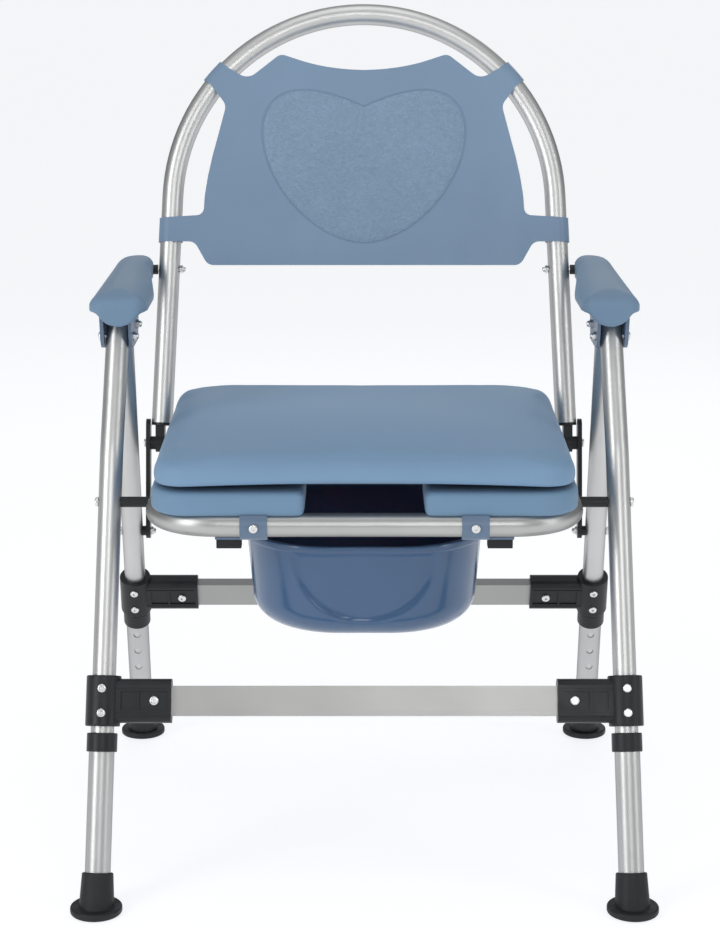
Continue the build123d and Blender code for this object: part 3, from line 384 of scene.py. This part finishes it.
def base_plastic(name, color):
    shader = Shader(name, color, 0.4)
    clouds = shader.noise(20, 3)
    grain = shader.noise(1100, 2)
    shader.tint(shader.spread(clouds, 0, 1), 0.92, 1.06)
    shader.rough(shader.spread(clouds, 0.34, 0.46))
    shader.bump(grain, 0.00005, 0.4)
    return shader.material


def coat(material, *starts):
    """Puts a material on every CAD node whose name begins with one of `starts`."""
    for name, obj in NODES.items():
        if name.startswith(starts):
            obj.data.materials.clear()
            obj.data.materials.append(material)


def dress_cad_nodes():
    upright, fore_aft, crosswise = (1, 1, 0.02), (1, 0.05, 1), (0.02, 1, 1)
    tube = anodised("tube_aluminium", (0.62, 0.62, 0.61), 0.4, upright)
    coat(tube, "front_leg", "rear_leg", "back_hoop")
    # painted shade: the seat frame gets a darker copy of the tube aluminium, standing in for the shade
    # under the cushion
    coat(anodised("seat_aluminium_painted_shade", (0.50, 0.50, 0.49), 0.4, fore_aft), "seat_frame")
    coat(anodised("lower_aluminium", (0.56, 0.565, 0.56), 0.42, upright), "lower_leg")
    # painted shade: the crossbars get a darker copy of the tube aluminium, so that they look dimmer than
    # the legs
    coat(anodised("bar_aluminium_painted_shade", (0.40, 0.40, 0.39), 0.4, crosswise), "crossbar")
    nylon = black_nylon()
    coat(nylon, "connector", "leg_collar", "leg_plugs", "seat_tube_plugs", "hoop_end", "rail_stops")
    coat(nylon, "fold_link", "seat_pivot_spacers", "link_spacers", "hoop_pivot_spacers")
    coat(black_rubber(), "foot")
    screws = screw_steel("screw_steel", (0.80, 0.80, 0.79), 0.26)
    coat(screws, "front_frame_fasteners", "rear_frame_fasteners", "seat_fasteners")
    coat(screws, "armrest_bolts", "link_rivets")
    coat(screw_steel("button_steel", (0.78, 0.78, 0.77), 0.18), "spring_button")
    coat(screw_steel("spring_steel", (0.5, 0.5, 0.52), 0.3), "button_springs")
    base = base_plastic("base_plastic", (0.125, 0.185, 0.27))
    coat(base, "seat_ring_base", "lid_base", "lid_hinge_lugs")
    coat(base_plastic("rail_plastic", (0.115, 0.175, 0.26)), "pail_rail")
    coat(base_plastic("bracket_plastic", (0.110, 0.165, 0.250)), "armrest_bracket")
    coat(sheet_plastic(), "backrest_sheet")


# ---------------------------------------------------------------- heart panel
HEART_HALF_WIDTH = 117
HEART_TAPER = 0.33
HEART_DROP = 83
HEART_LOBE = 71.5
HEART_HEIGHT = 112
HEART_STEPS = 120
# each ring of the panel: its share of the heart's size, and its height over the sheet's face
HEART_RINGS = ((0.98, -0.4), (0.978, 0), (0.972, 0.3), (0.9, 0.5), (0.7, 0.55), (0.45, 0.55), (0.2, 0.55))
SHEET_LEAN = math.radians(15)
SHEET_FACE = 14.5 * MM


def heart_point(turn, scale):
    """A point of the plain heart, in millimetres in the sheet's own plane."""
    x = HEART_HALF_WIDTH * math.sin(turn) * (1 + HEART_TAPER * math.cos(turn))
    lobe = abs(math.sin(turn)) * ((1 + math.cos(turn)) / 2) ** 2
    y = HEART_DROP * math.cos(turn) + HEART_LOBE * lobe
    return x * scale, HEART_HEIGHT + y * scale


def heart_panel():
    """A thin grained panel that lies in the heart-shaped groove of the backrest sheet."""
    joint = next(j for j in frame["record"]["behaviour"]["joints"] if j["name"] == "back_fold")
    up = Vector((0, math.sin(SHEET_LEAN), math.cos(SHEET_LEAN)))
    face = Vector((0, -math.cos(SHEET_LEAN), math.sin(SHEET_LEAN)))
    origin = Vector((0, joint["pos_m"][1], joint["pos_m"][2])) + face * SHEET_FACE
    mesh = bmesh.new()
    rings = []
    for scale, lift in HEART_RINGS:
        ring = []
        for step in range(HEART_STEPS):
            x, y = heart_point(2 * math.pi * step / HEART_STEPS, scale)
            place = origin + Vector((x * MM, 0, 0)) + up * (y * MM) + face * (lift * MM)
            ring.append(mesh.verts.new(place))
        rings.append(ring)
    smooth_count = join_rings(mesh, rings)
    mesh.faces.new(rings[-1])
    mesh.faces.new(reversed(rings[0]))
    panel = finish_mesh("heart_panel", mesh, smooth_count, heart_plastic())
    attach(panel, "back")


# ---------------------------------------------------------------- pail
# millimetres, with heights above the pail's underside
PAIL_HEIGHT = 108
PAIL_HALF_TOP = 130.5
PAIL_HALF_BOTTOM = 121
PAIL_EDGE = 32
PAIL_WALL = 2.4
PAIL_CORNER = 0.72
LIP_HEIGHT = 8
LIP_OUT = 1.6
# the lip's rounded edges, each measured from its own corner
LIP_UNDER = ((-0.7, 0), (-0.2, 0.2), (0, 0.8))
LIP_OVER = ((0, -1.2), (-0.3, -0.4), (-1, 0))
LIP_INNER = ((0.8, 0), (0.2, -0.4))
WING_PROFILE = ((126.5, 106), (129.5, 106), (129.5, 119.2), (150, 119.2), (150, 122), (126.5, 122))
WING_HALF_LENGTH = 80
WING_ROUND = 0.6
RECESS_HALF = 82
RECESS_TOP = 99
RECESS_HEIGHT = 80
RECESS_DEPTH = 5
RECESS_EDGE = 0.085
RECESS_FADE = 5
REAR_RISE = 9
RISE_FROM = 60
FLOOR_PARTS = (0.1, 0.3, 0.5, 0.7, 0.9)
EDGE_STEPS = 16
WALL_STEPS = 32
SIDE_STEPS = 28
CORNER_STEPS = 56


def unit_ring():
    """A square of half-width 1 with round corners, as a closed row of points."""
    core = 1 - PAIL_CORNER
    quarter = [(core * (2 * step / SIDE_STEPS - 1), -1) for step in range(SIDE_STEPS)]
    for step in range(CORNER_STEPS):
        turn = math.pi / 2 * (step / CORNER_STEPS - 1)
        quarter.append((core + PAIL_CORNER * math.cos(turn), -core + PAIL_CORNER * math.sin(turn)))
    points = []
    for _ in range(4):
        points += quarter
        quarter = [(-y, x) for x, y in quarter]
    return points


def pail_half(height):
    """Half-width of the pail's outside at a height above its underside."""
    draft = (PAIL_HALF_TOP - PAIL_HALF_BOTTOM) / PAIL_HEIGHT
    rise = share(PAIL_EDGE - height, 0, PAIL_EDGE)
    return PAIL_HALF_BOTTOM + draft * height - PAIL_EDGE * (1 - math.sqrt(1 - rise ** 2))


def pail_side(shrink, top):
    """Half-width and height of one skin, from the middle of its floor up to `top`."""
    floor = pail_half(0) - shrink
    rows = [(floor * part, shrink) for part in FLOOR_PARTS]
    turns = [math.pi / 2 * step / EDGE_STEPS for step in range(EDGE_STEPS + 1)]
    heights = [PAIL_EDGE * (1 - math.cos(turn)) for turn in turns]
    wall = top - shrink - PAIL_EDGE
    heights += [PAIL_EDGE + wall * step / WALL_STEPS for step in range(1, WALL_STEPS + 1)]
    return rows + [(pail_half(height) - shrink, height + shrink) for height in heights]


def pail_profile():
    """The whole section: the outer skin, the lip with its rounded edges and the inner skin."""
    out = PAIL_HALF_TOP + LIP_OUT
    inside = PAIL_HALF_TOP - PAIL_WALL
    low = PAIL_HEIGHT - LIP_HEIGHT
    lip = [(out + x, low + z) for x, z in LIP_UNDER]
    lip += [(out + x, PAIL_HEIGHT + z) for x, z in LIP_OVER]
    lip += [(inside + x, PAIL_HEIGHT + z) for x, z in LIP_INNER]
    return pail_side(0, low - 0.1) + lip + pail_side(PAIL_WALL, PAIL_HEIGHT - 1.5)[::-1]


def recess(x, y, z):
    """How far the moulded half-round recess in the front pushes a point inwards."""
    if y > 0:
        return 0
    across = x / RECESS_HALF
    down = max(RECESS_TOP - z, 0) / RECESS_HEIGHT
    part = share((1 - math.hypot(across, down)) / RECESS_EDGE, 0, 1)
    fade = share(RECESS_TOP - z, 0, RECESS_FADE)
    return RECESS_DEPTH * part * part * (3 - 2 * part) * fade


def rear_rise(rearness, height):
    """How much higher a point of the upper wall stands at the rear than at the front."""
    return REAR_RISE * share(height, RISE_FROM, PAIL_HEIGHT) * max(rearness, 0) ** 2


def pail_wing(mesh, side, middle, floor):
    """The flat wing that hangs on a rail, with its riser."""
    ends = []
    for along in (-WING_HALF_LENGTH, WING_HALF_LENGTH):
        places = [(side * x * MM, middle + along * MM, floor + z * MM) for x, z in WING_PROFILE]
        ends.append([mesh.verts.new(place) for place in places])
    count = len(WING_PROFILE)
    made = [mesh.faces.new(ends[0]), mesh.faces.new(ends[1][::-1])]
    for index in range(count):
        after = (index + 1) % count
        made.append(mesh.faces.new((ends[0][index], ends[1][index], ends[1][after], ends[0][after])))
    edges = list({edge for face in made for edge in face.edges})
    bmesh.ops.bevel(mesh, geom=edges, offset=WING_ROUND * MM, segments=2, affect="EDGES")


def pail_shell():
    """The pail with its front recess and raised rear rim, and a wing on each side."""
    low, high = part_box("pail")
    middle = (low[1] + high[1]) / 2
    unit = unit_ring()
    mesh = bmesh.new()
    rings = []
    for half, height in pail_profile():
        ring = []
        for across, along in unit:
            x, y = half * across, half * along
            push = 1 - recess(x, y, height) / max(math.hypot(x, y), 1)
            raised = height + rear_rise(along, height)
            place = (x * push * MM, middle + y * push * MM, low[2] + raised * MM)
            ring.append(mesh.verts.new(place))
        rings.append(ring)
    smooth_count = join_rings(mesh, rings)
    mesh.faces.new(rings[0][::-1])
    mesh.faces.new(rings[-1])
    for side in (1, -1):
        pail_wing(mesh, side, middle, low[2])
    shell = finish_mesh("pail_shell", mesh, smooth_count, pail_plastic())
    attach(shell, "pail_body")
    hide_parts("pail")


# ---------------------------------------------------------------- soft pieces
PAD_FORWARD = 4 * MM
PAD_DOWN = 4.5 * MM
ARCH_DEPTH = 40 * MM
ARM_NOSE = 35 * MM
ARM_SHOULDER = 22 * MM
CLOTH_FRAMES = 20


def copy_of(node, name):
    mesh = NODES[node].data.copy()
    mesh.materials.clear()
    if "custom_normal" in mesh.attributes:
        mesh.attributes.remove(mesh.attributes["custom_normal"])
    return show(name, mesh)


def shade_smooth(piece):
    for polygon in piece.data.polygons:
        polygon.use_smooth = True


def add_filler(piece, low, high):
    """Joins a plain box to the piece, so that the remesh closes a hidden pocket."""
    mesh = bmesh.new()
    mesh.from_mesh(piece.data)
    made = bmesh.ops.create_cube(mesh, size=1)
    for vertex in made["verts"]:
        for axis in range(3):
            vertex.co[axis] = high[axis] if vertex.co[axis] > 0 else low[axis]
    mesh.to_mesh(piece.data)
    mesh.free()


def fit_across(piece, low, high, grow):
    """Scales the piece in X and Y to a CAD box that is `grow` larger each way."""
    places = [vertex.co for vertex in piece.data.vertices]
    for axis in (0, 1):
        least = min(place[axis] for place in places)
        most = max(place[axis] for place in places)
        wanted = high[axis] - low[axis] + 2 * grow
        middle = (high[axis] + low[axis]) / 2
        for place in places:
            place[axis] = middle + (place[axis] - (least + most) / 2) * wanted / (most - least)


def apply_modifiers(piece):
    graph = bpy.context.evaluated_depsgraph_get()
    mesh = bpy.data.meshes.new_from_object(piece.evaluated_get(graph))
    piece.modifiers.clear()
    old = piece.data
    piece.data = mesh
    bpy.data.meshes.remove(old)


def remesh(piece, voxel, inset, smoothing):
    """An even mesh of the CAD solid, a little inside its faces and with softened edges."""
    modifier = piece.modifiers.new("remesh", "REMESH")
    modifier.mode = "VOXEL"
    modifier.voxel_size = voxel
    apply_modifiers(piece)
    shade_smooth(piece)
    normals = [vertex.normal.copy() for vertex in piece.data.vertices]
    for vertex, normal in zip(piece.data.vertices, normals):
        vertex.co -= normal * inset
    relax(piece, smoothing)


def relax(piece, rounds):
    every_axis = {"use_axis_x": True, "use_axis_y": True, "use_axis_z": True}
    mesh = bmesh.new()
    mesh.from_mesh(piece.data)
    for _ in range(rounds):
        bmesh.ops.smooth_vert(mesh, verts=mesh.verts, factor=0.5, **every_axis)
    mesh.to_mesh(piece.data)
    mesh.free()


def swell(piece, pressure, cap, hold):
    """Inflates the piece as cloth, holding the vertices that hold() names, and caps each move."""
    start = [vertex.co.copy() for vertex in piece.data.vertices]
    group = piece.vertex_groups.new(name="held")
    held = [index for index, place in enumerate(start) if hold(place)]
    group.add(held, 1.0, "REPLACE")
    modifier = piece.modifiers.new("cloth", "CLOTH")
    settings = modifier.settings
    settings.quality = 6
    settings.mass = 0.3
    settings.tension_stiffness = 25
    settings.compression_stiffness = 25
    settings.shear_stiffness = 12
    settings.bending_stiffness = 2
    settings.vertex_group_mass = "held"
    settings.use_pressure = True
    settings.uniform_pressure_force = pressure
    settings.effector_weights.gravity = 0
    modifier.collision_settings.use_collision = False
    modifier.point_cache.frame_start = 1
    modifier.point_cache.frame_end = CLOTH_FRAMES
    scene = bpy.context.scene
    for step in range(1, CLOTH_FRAMES + 1):
        scene.frame_set(step)
    apply_modifiers(piece)
    scene.frame_set(1)
    for vertex, origin in zip(piece.data.vertices, start):
        move = vertex.co - origin
        if move.length > cap:
            vertex.co = origin + move * (cap / move.length)


def finish_cushion(piece, material, body, node):
    """Refines the piece, coats it, and puts it in place of its CAD node."""
    relax(piece, 2)
    modifier = piece.modifiers.new("fine", "SUBSURF")
    modifier.levels = 1
    modifier.render_levels = 1
    apply_modifiers(piece)
    shade_smooth(piece)
    piece.data.materials.clear()
    piece.data.materials.append(material)
    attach(piece, body)
    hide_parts(node)


def arch_front(piece, low, high, rise):
    """Raises the middle of the lower front edge, as on the moulded lid."""
    for vertex in piece.data.vertices:
        place = vertex.co
        near = share(low.y + ARCH_DEPTH - place.y, 0, ARCH_DEPTH)
        below = share(high.z - place.z, 0, high.z - low.z)
        across = max(1 - (place.x / high.x) ** 2, 0)
        place.z += rise * near * below * across


def crown(piece, low, high, rise):
    """Domes the upper half of a cushion by `rise` in its middle, fading to nothing at its rim."""
    middle = (low + high) / 2
    half = (high - low) / 2
    for vertex in piece.data.vertices:
        place = vertex.co
        across = max(1 - ((place.x - middle.x) / half.x) ** 2, 0)
        along = max(1 - ((place.y - middle.y) / half.y) ** 2, 0)
        place.z += rise * math.sqrt(across * along) * share(place.z, low.z, high.z)


def settle(piece, low, high, rearward, lift):
    """Lets a cushion rest on the tube below it, and lets its rear reach back and stay high."""
    for vertex in piece.data.vertices:
        place = vertex.co
        back = share(place.y, low.y, high.y)
        above = share(place.z, low.z, high.z)
        place.y += rearward * back - PAD_FORWARD * (1 - back)
        place.z -= PAD_DOWN * (1 - lift * above * back)


def round_over(piece, low, high, drop):
    """Lowers an armrest's top towards its long edges and its nose, so that its section is domed."""
    middle = (low.x + high.x) / 2
    half = (high.x - low.x) / 2
    for vertex in piece.data.vertices:
        place = vertex.co
        above = share(place.z - high.z + ARM_SHOULDER, 0, ARM_SHOULDER)
        across = share(abs(place.x - middle), 0, half) ** 2.5
        ahead = share(low.y + ARM_NOSE - place.y, 0, ARM_NOSE) ** 2
        place.z -= drop * above * max(across, ahead * 0.8)


def lid_cushion(material):
    low, high = (Vector(corner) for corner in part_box("lid_pad"))
    piece = copy_of("lid_pad", "lid_cushion")
    remesh(piece, voxel=5 * MM, inset=1 * MM, smoothing=3)
    swell(piece, pressure=2, cap=2.5 * MM, hold=lambda place: place.z < low.z + 6 * MM)
    relax(piece, 4)
    fit_across(piece, low, high, grow=0.5 * MM)
    arch_front(piece, low, high, rise=6 * MM)
    crown(piece, low, high, rise=6 * MM)
    settle(piece, low, high, rearward=8 * MM, lift=1.4)
    finish_cushion(piece, material, "lid", "lid_pad")


def ring_cushion(material):
    low, high = (Vector(corner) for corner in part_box("seat_ring_pad"))
    piece = copy_of("seat_ring_pad", "ring_cushion")
    remesh(piece, voxel=4 * MM, inset=0.5 * MM, smoothing=2)
    held_low, held_high = low.z + 6 * MM, high.z - 5 * MM
    swell(piece, pressure=3, cap=1.5 * MM, hold=lambda place: not held_low <= place.z <= held_high)
    fit_across(piece, low, high, grow=0)
    settle(piece, low, high, rearward=0, lift=0)
    finish_cushion(piece, material, "seat", "seat_ring_pad")


def arm_cushion(side, material):
    """An armrest pad. The pocket for the bracket under it is filled, as the real foam fills it."""
    node = f"armrest_pad_{side}"
    piece = copy_of(node, f"armrest_cushion_{side}")
    low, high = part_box(node)
    bracket_low, bracket_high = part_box(f"armrest_bracket_{side}")
    pocket_low = (bracket_low[0] - 1 * MM, bracket_low[1] + 1 * MM, high[2] - 21.5 * MM)
    pocket_high = (bracket_high[0] + 1 * MM, bracket_high[1] - 2 * MM, high[2] - 8 * MM)
    add_filler(piece, pocket_low, pocket_high)
    remesh(piece, voxel=2.5 * MM, inset=0.4 * MM, smoothing=2)
    swell(piece, pressure=3, cap=2 * MM, hold=lambda place: place.z < high[2] - 14 * MM)
    fit_across(piece, low, high, grow=0.3 * MM)
    round_over(piece, Vector(low), Vector(high), drop=8 * MM)
    finish_cushion(piece, material, "armrests", node)


def add_cushions():
    lid_cushion(moulded_foam("lid_foam", (0.184, 0.304, 0.452)))
    ring_cushion(moulded_foam("ring_foam", (0.156, 0.262, 0.386)))
    arm_foam = moulded_foam("arm_foam", (0.156, 0.244, 0.350))
    for side in ("left", "right"):
        arm_cushion(side, arm_foam)


bpy.context.scene.view_settings.view_transform = "Standard"
add_camera()
add_lights()
add_floor()
add_backdrop()
dress_cad_nodes()
heart_panel()
pail_shell()
add_cushions()
